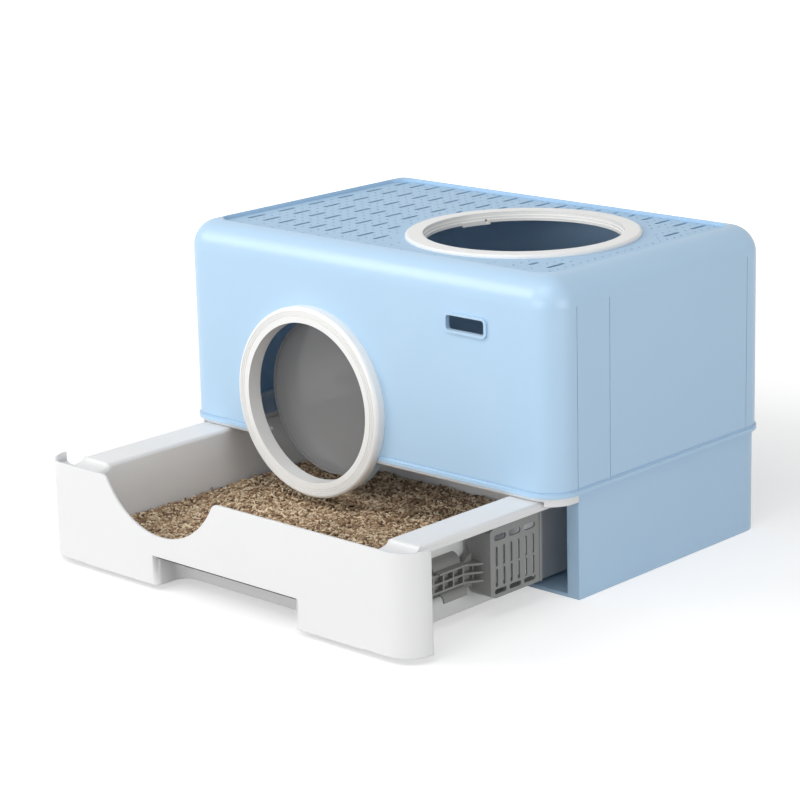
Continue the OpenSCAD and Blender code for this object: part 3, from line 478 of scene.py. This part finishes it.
def heap_height(x, y):
    """Height of the litter's surface over a point of the tray: the CAD bed with small ripples."""
    x_in = min(max(x, litter_low[0] + INSET), litter_high[0] - INSET)
    y_in = min(max(y, litter_low[1] + INSET), litter_high[1] - INSET)
    hit = bed_surface.ray_cast(Vector((x_in, y_in, 1.0)), Vector((0, 0, -1)))[0]
    base = hit.z if hit is not None and hit.z > heap_level - DEEPEST_DIP else heap_level
    ripple = sum(height * math.sin(x * right + y * back) for height, right, back in RIPPLES)
    return base + (ripple - RIPPLE_DROP) * MM


print("heap level", round(heap_level, 4))

# %% A closed block with the heap's surface on top
STEP = 6 * MM


def heap_mesh(name, x_range, y_range, depth):
    """A closed block of litter with a hilly top."""
    xs = np.linspace(*x_range, max(2, round((x_range[1] - x_range[0]) / STEP)) + 1)
    ys = np.linspace(*y_range, max(2, round((y_range[1] - y_range[0]) / STEP)) + 1)
    mesh = bmesh.new()
    top = [[mesh.verts.new((x, y, float(heap_height(x, y)))) for x in xs] for y in ys]
    low = [[mesh.verts.new((x, y, depth)) for x in xs] for y in ys]
    rows, cols = len(ys) - 1, len(xs) - 1
    for j in range(rows):
        for i in range(cols):
            mesh.faces.new((top[j][i], top[j][i + 1], top[j + 1][i + 1], top[j + 1][i]))
            mesh.faces.new((low[j][i], low[j + 1][i], low[j + 1][i + 1], low[j][i + 1]))
    for i in range(cols):
        mesh.faces.new((top[0][i], low[0][i], low[0][i + 1], top[0][i + 1]))
        mesh.faces.new((top[rows][i], top[rows][i + 1], low[rows][i + 1], low[rows][i]))
    for j in range(rows):
        mesh.faces.new((top[j][0], top[j + 1][0], low[j + 1][0], low[j][0]))
        mesh.faces.new((top[j][cols], low[j][cols], low[j + 1][cols], top[j + 1][cols]))
    data = bpy.data.meshes.new(name)
    mesh.to_mesh(data)
    mesh.free()
    piece = bpy.data.objects.new(name, data)
    bpy.context.scene.collection.objects.link(piece)
    return piece

# %% The body of the heap
SIDE_GAP, END_GAP = 0.3 * MM, 0.5 * MM
BODY_THICKNESS = 9 * MM
bed_x = (litter_low[0] + SIDE_GAP, litter_high[0] - SIDE_GAP)
bed_y = (litter_low[1] + END_GAP, litter_high[1] - END_GAP)
litter_body = heap_mesh("litter_body", bed_x, bed_y, heap_level - BODY_THICKNESS)
print("heap", rounded(bed_x, 4), rounded(bed_y, 4))

# %% [markdown]
# ## Pellet finish
# Pressed husk is matt and dry. No two pellets have quite the same colour: some are pale straw,
# some brown. Each pellet carries a random number from the tree below, and the material turns it
# into a colour. Fine fibres run along it, too thin to draw singly, so a noise of 2 mm stands for
# them. The body under the pellets gets the same finish, much darker: painted shade of the deep
# gaps.

# %% Pressed husk, and the painted shade of the gaps below it
FIBRE_MM = 2
FIBRE_SHARE = 0.15


def pressed_husk(name, dark, middle, pale):
    """Dry husk, from dark to pale by the number that each pellet carries."""
    material, tree, out = new_material(name)
    place = add_node(tree, "ShaderNodeTexCoord").outputs["Object"]
    shade = add_node(tree, "ShaderNodeAttribute", attribute_name="pellet_shade")
    fibre = add_node(tree, "ShaderNodeTexNoise",
                     {"Vector": place, "Scale": grains(FIBRE_MM), "Detail": 4.0})
    grain = add_node(tree, "ShaderNodeMapRange",
                     {"Value": fibre.outputs["Fac"], "To Min": -FIBRE_SHARE,
                      "To Max": FIBRE_SHARE})
    mixed = add_node(tree, "ShaderNodeMath",
                     {0: shade.outputs["Fac"], 1: grain.outputs["Result"]}, operation="ADD")
    ramp = add_node(tree, "ShaderNodeValToRGB", {"Fac": mixed.outputs[0]})
    ramp.color_ramp.elements[0].color = linear(dark)
    ramp.color_ramp.elements[0].position = 0.05
    ramp.color_ramp.elements[1].color = linear(pale)
    ramp.color_ramp.elements[1].position = 0.95
    centre = ramp.color_ramp.elements.new(0.45)
    centre.color = linear(middle)
    bump = add_node(tree, "ShaderNodeBump",
                    {"Height": fibre.outputs["Fac"], "Distance": 0.2 * MM})
    skin = add_node(tree, "ShaderNodeBsdfPrincipled",
                    {"Base Color": ramp.outputs["Color"], "Roughness": 0.7,
                     "Normal": bump.outputs["Normal"]})
    tree.links.new(skin.outputs["BSDF"], out.inputs["Surface"])
    return material


husk = pressed_husk("pressed_husk", "#745a42", "#b09374", "#e8d6b8")
# The body under the pellets gets near-black browns: painted shade for the gaps between pellets.
husk_gap_shade = pressed_husk("husk_gap_shade", "#1d140d", "#2e2118", "#453424")
dress(litter_body, husk_gap_shade)
print("litter finishes:", husk.name, husk_gap_shade.name)

# %% [markdown]
# ## Pellets with Geometry Nodes
# Some fifteen thousand pellets can't be placed by hand. The tree scatters points over the heap's
# top, lays a pellet on each, turns it at random with a small tilt, and gives it its own length and
# shade. A pellet is a six-sided rod of twenty triangles, which is enough at this size. Every
# random value has a fixed seed, so the heap comes out the same each time.

# %% The pellets' spread
TURN_LOW, TURN_HIGH = (-0.45, -0.5, 0.0), (0.45, 0.5, 2 * math.pi)
LENGTH_LOW, LENGTH_HIGH = 0.55, 1.15
WIDTH_LOW, WIDTH_HIGH = 0.8, 1.15
LIFT_LOW, LIFT_HIGH = (0.0, 0.0, -0.8 * MM), (0.0, 0.0, 1.8 * MM)
UPWARD = 0.5
print("pellet lengths vary from", LENGTH_LOW, "to", LENGTH_HIGH, "of the usual length")

# %% The scattering tree
def pellet_tree(material):
    """The tree, and the identifiers of the sockets that take its sizes."""
    tree = bpy.data.node_groups.new("scatter_pellets", "GeometryNodeTree")
    face = tree.interface
    face.new_socket("Geometry", in_out="INPUT", socket_type="NodeSocketGeometry")
    sizes = {}
    for name, kind in (("Density", "NodeSocketFloat"), ("Length", "NodeSocketFloat"),
                       ("Width", "NodeSocketFloat"), ("Seed", "NodeSocketInt")):
        sizes[name] = face.new_socket(name, in_out="INPUT", socket_type=kind).identifier
    face.new_socket("Geometry", in_out="OUTPUT", socket_type="NodeSocketGeometry")
    given = tree.nodes.new("NodeGroupInput").outputs

    # Points on the faces that look up.
    normal = add_node(tree, "GeometryNodeInputNormal").outputs["Normal"]
    up = add_node(tree, "ShaderNodeSeparateXYZ", {0: normal})
    is_top = add_node(tree, "FunctionNodeCompare", {0: up.outputs["Z"], 1: UPWARD},
                      data_type="FLOAT", operation="GREATER_THAN")
    points = add_node(tree, "GeometryNodeDistributePointsOnFaces",
                      {"Mesh": given["Geometry"], "Selection": is_top.outputs["Result"],
                       "Density": given["Density"], "Seed": given["Seed"]})

    # A rod of length and width 1, laid down, turned and stretched at each point.
    rod = add_node(tree, "GeometryNodeMeshCylinder",
                   {"Vertices": 6, "Radius": 0.5, "Depth": 1.0})
    lay = add_node(tree, "GeometryNodeTransform",
                   {"Geometry": rod.outputs["Mesh"], "Rotation": (0.0, math.pi / 2, 0.0)})
    turn = add_node(tree, "FunctionNodeRandomValue", {0: TURN_LOW, 1: TURN_HIGH, "Seed": 3},
                    data_type="FLOAT_VECTOR")
    stretch = add_node(tree, "FunctionNodeRandomValue",
                       {2: LENGTH_LOW, 3: LENGTH_HIGH, "Seed": 5}, data_type="FLOAT")
    swell = add_node(tree, "FunctionNodeRandomValue",
                     {2: WIDTH_LOW, 3: WIDTH_HIGH, "Seed": 6}, data_type="FLOAT")
    length = add_node(tree, "ShaderNodeMath", {0: given["Length"], 1: stretch.outputs[1]},
                      operation="MULTIPLY")
    width = add_node(tree, "ShaderNodeMath", {0: given["Width"], 1: swell.outputs[1]},
                     operation="MULTIPLY")
    size = add_node(tree, "ShaderNodeCombineXYZ",
                    {"X": length.outputs[0], "Y": width.outputs[0], "Z": width.outputs[0]})
    laid = add_node(tree, "GeometryNodeInstanceOnPoints",
                    {"Points": points.outputs["Points"], "Instance": lay.outputs["Geometry"],
                     "Rotation": turn.outputs[0], "Scale": size.outputs[0]})

    # Each pellet keeps a number for its shade, and lies a little higher or lower.
    shade = add_node(tree, "FunctionNodeRandomValue", {2: 0.0, 3: 1.0, "Seed": 9},
                     data_type="FLOAT")
    marked = add_node(tree, "GeometryNodeStoreNamedAttribute",
                      {"Geometry": laid.outputs["Instances"], "Name": "pellet_shade",
                       "Value": shade.outputs[1]},
                      data_type="FLOAT", domain="INSTANCE")
    lift = add_node(tree, "FunctionNodeRandomValue", {0: LIFT_LOW, 1: LIFT_HIGH, "Seed": 11},
                    data_type="FLOAT_VECTOR")
    raised = add_node(tree, "GeometryNodeTranslateInstances",
                      {"Instances": marked.outputs["Geometry"],
                       "Translation": lift.outputs[0], "Local Space": False})
    solid = add_node(tree, "GeometryNodeRealizeInstances",
                     {"Geometry": raised.outputs["Instances"]})
    done = add_node(tree, "GeometryNodeSetMaterial",
                    {"Geometry": solid.outputs["Geometry"], "Material": material})
    out = tree.nodes.new("NodeGroupOutput")
    tree.links.new(done.outputs["Geometry"], out.inputs["Geometry"])
    return tree, sizes


scatter, sockets = pellet_tree(husk)
print("scattering tree with", len(scatter.nodes), "nodes")

# %% [markdown]
# ## The pellets, strip by strip
# One mesh of all pellets would be too heavy for one piece, so the heap's top is worked in four
# strips. Each strip is a thin block that carries the tree, and is left as a plain mesh of pellets.

# %% Scatter the pellets
PELLET_LENGTH = 8.2 * MM
PELLET_WIDTH = 2.5 * MM
PELLETS_PER_SQUARE_METRE = 104000.0
EDGE = 3.2 * MM
STRIPS = 4
STRIP_THICKNESS = 4 * MM
FIRST_SEED = 20


def grow(carrier, tree, values):
    """Runs a tree on a carrier and leaves the result as its plain mesh."""
    modifier = carrier.modifiers.new("grow", "NODES")
    modifier.node_group = tree
    for identifier, value in values.items():
        modifier[identifier] = value
    carrier.update_tag()
    evaluated = carrier.evaluated_get(bpy.context.evaluated_depsgraph_get())
    data = bpy.data.meshes.new_from_object(evaluated)
    carrier.modifiers.remove(modifier)
    old = carrier.data
    carrier.data = data
    bpy.data.meshes.remove(old)


strip_ends = np.linspace(bed_y[0] + EDGE, bed_y[1] - EDGE, STRIPS + 1)
pellet_strips = []
for index in range(STRIPS):
    strip = heap_mesh("litter_pellets_%d" % (index + 1), (bed_x[0] + EDGE, bed_x[1] - EDGE),
                      (strip_ends[index], strip_ends[index + 1]), heap_level - STRIP_THICKNESS)
    grow(strip, scatter, {sockets["Density"]: PELLETS_PER_SQUARE_METRE,
                          sockets["Length"]: PELLET_LENGTH, sockets["Width"]: PELLET_WIDTH,
                          sockets["Seed"]: FIRST_SEED + index})
    pellet_strips.append(strip)
    print(strip.name, "triangles:", sum(len(p.vertices) - 2 for p in strip.data.polygons))

# %% Hand the litter to the drawer
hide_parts("litter_bed")
for piece in [litter_body] + pellet_strips:
    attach(piece, "drawer")
print("litter pieces:", 1 + len(pellet_strips))

# %% [markdown]
# ## Floor
# The object stands on a pale floor in an even, white studio. The floor is a plain surface that
# takes the object's shadow. It is lifted to white only for rays from the eye, from reflections
# and through the flap, so no extra light reaches the object. The lift grows away from the object,
# where the lamps no longer reach.

# %% Floor
FLOOR_HALF = 6.0
FADE_START, FADE_END = 0.55, 1.5
LIFT_NEAR, LIFT_FAR = 0.5, 1.0


def seen_rays(tree):
    """A socket that is 1 for camera, glossy and transmission rays."""
    path = add_node(tree, "ShaderNodeLightPath").outputs
    first = add_node(tree, "ShaderNodeMath",
                     {0: path["Is Camera Ray"], 1: path["Is Glossy Ray"]}, operation="MAXIMUM")
    either = add_node(tree, "ShaderNodeMath",
                      {0: first.outputs[0], 1: path["Is Transmission Ray"]},
                      operation="MAXIMUM")
    return either.outputs[0]


def floor_paper(name):
    """Matt pale paper that fades to white away from the object."""
    material, tree, out = new_material(name)
    place = add_node(tree, "ShaderNodeTexCoord").outputs["Object"]
    away = add_node(tree, "ShaderNodeVectorMath", {0: place}, operation="LENGTH")
    fade = add_node(tree, "ShaderNodeMapRange",
                    {"Value": away.outputs["Value"], "From Min": FADE_START,
                     "From Max": FADE_END, "To Min": LIFT_NEAR, "To Max": LIFT_FAR})
    paper = add_node(tree, "ShaderNodeBsdfDiffuse", {"Color": linear("#cfcfcf")})
    lift = add_node(tree, "ShaderNodeMath", {0: seen_rays(tree), 1: fade.outputs["Result"]},
                    operation="MULTIPLY")
    glow = add_node(tree, "ShaderNodeEmission",
                    {"Color": (1, 1, 1, 1), "Strength": lift.outputs[0]})
    both = add_node(tree, "ShaderNodeAddShader",
                    {0: paper.outputs["BSDF"], 1: glow.outputs["Emission"]})
    tree.links.new(both.outputs["Shader"], out.inputs["Surface"])
    return material


floor_data = bpy.data.meshes.new("floor")
floor_data.from_pydata([(-FLOOR_HALF, -FLOOR_HALF, 0), (FLOOR_HALF, -FLOOR_HALF, 0),
                        (FLOOR_HALF, FLOOR_HALF, 0), (-FLOOR_HALF, FLOOR_HALF, 0)],
                       [], [(0, 1, 2, 3)])
floor = bpy.data.objects.new("floor", floor_data)
bpy.context.scene.collection.objects.link(floor)
dress(floor, floor_paper("floor_paper"))
print("floor", 2 * FLOOR_HALF, "m wide")

# %% [markdown]
# ## World light
# The world gives the object a low, even light from all round. Only the rays that see it directly
# find it pure white, which makes the background.

# %% World light
AMBIENT = 0.36
world = bpy.data.worlds.new("studio")
bpy.context.scene.world = world
world.use_nodes = True
sky = world.node_tree
sky.nodes.clear()
strength = add_node(sky, "ShaderNodeMapRange",
                    {"Value": seen_rays(sky), "To Min": AMBIENT, "To Max": 1.0})
back = add_node(sky, "ShaderNodeBackground",
                {"Color": (1, 1, 1, 1), "Strength": strength.outputs["Result"]})
add_node(sky, "ShaderNodeOutputWorld", {"Surface": back.outputs["Background"]})
print("ambient light", AMBIENT)

# %% [markdown]
# ## Lamps
# Four broad, soft lamps add to the even light. The key lamp stands at the upper left of the
# front. The top lamp hangs high before the hood: it lights the litter over the drawer's front and
# draws the pale band along the hood's round upper edge. A low lamp in front carries light under
# the hood, and a weaker one at the right keeps the drawer's side from going dark.

# %% Soft lamps
# Name, place, what it points at, width and height in metres, and watts.
LAMPS = (
    ("key_lamp", (-1.75, -1.85, 1.75), (0, -0.15, 0.2), (1.5, 1.3), 31),
    ("top_lamp", (0.4, -1.5, 2.4), (0, -0.3, 0.1), (2.0, 1.6), 23),
    ("side_lamp", (2.9, -0.2, 0.55), (0.1, -0.1, 0.1), (1.8, 0.9), 20),
    ("front_lamp", (0.2, -4.2, 0.9), (0, -0.2, 0.1), (3.0, 1.2), 49),
)


def soft_lamp(name, place, aim, size, watts):
    """A broad lamp at a place, turned towards what it lights."""
    lamp = bpy.data.lights.new(name, "AREA")
    lamp.shape = "RECTANGLE"
    lamp.size, lamp.size_y = size
    lamp.energy = watts
    holder = bpy.data.objects.new(name, lamp)
    bpy.context.scene.collection.objects.link(holder)
    turn = (Vector(aim) - Vector(place)).to_track_quat("-Z", "Y").to_matrix().to_4x4()
    holder.matrix_world = Matrix.Translation(Vector(place)) @ turn
    print(name, watts, "W")


for lamp_values in LAMPS:
    soft_lamp(*lamp_values)

# %% [markdown]
# ## Camera
# A long lens from the front right, a little above the box. The numbers are the eye's turn round
# the object, its height angle and the tilt of the view, then the point it looks at and its
# distance from there.

# %% Camera
TURN, RISE, TILT = math.radians(43.4), math.radians(15.2), math.radians(-1.5)
AIM = Vector((-0.0744, -0.0436, 0.140))
DISTANCE = 3.0547
LENS_MM, SENSOR_MM = 117.98, 36
back_way = Vector((math.sin(TURN) * math.cos(RISE), -math.cos(TURN) * math.cos(RISE),
                   math.sin(RISE)))
right_way = Vector((math.cos(TURN), math.sin(TURN), 0))
up_way = back_way.cross(right_way)
side_axis = right_way * math.cos(TILT) + up_way * math.sin(TILT)
up_axis = up_way * math.cos(TILT) - right_way * math.sin(TILT)
camera_data = bpy.data.cameras.new("camera")
camera_data.lens = LENS_MM
camera_data.sensor_width = SENSOR_MM
camera_data.clip_start = 0.1
camera = bpy.data.objects.new("camera", camera_data)
bpy.context.scene.collection.objects.link(camera)
eye = AIM + back_way * DISTANCE
eye_axes = Matrix((side_axis, up_axis, back_way)).transposed().to_4x4()
camera.matrix_world = Matrix.Translation(eye) @ eye_axes
bpy.context.scene.camera = camera
print("camera at", rounded(eye))

# %% [markdown]
# ## Colour view
# The renders show colours through the Standard view transform.

# %% Finish
bpy.context.scene.view_settings.view_transform = "Standard"
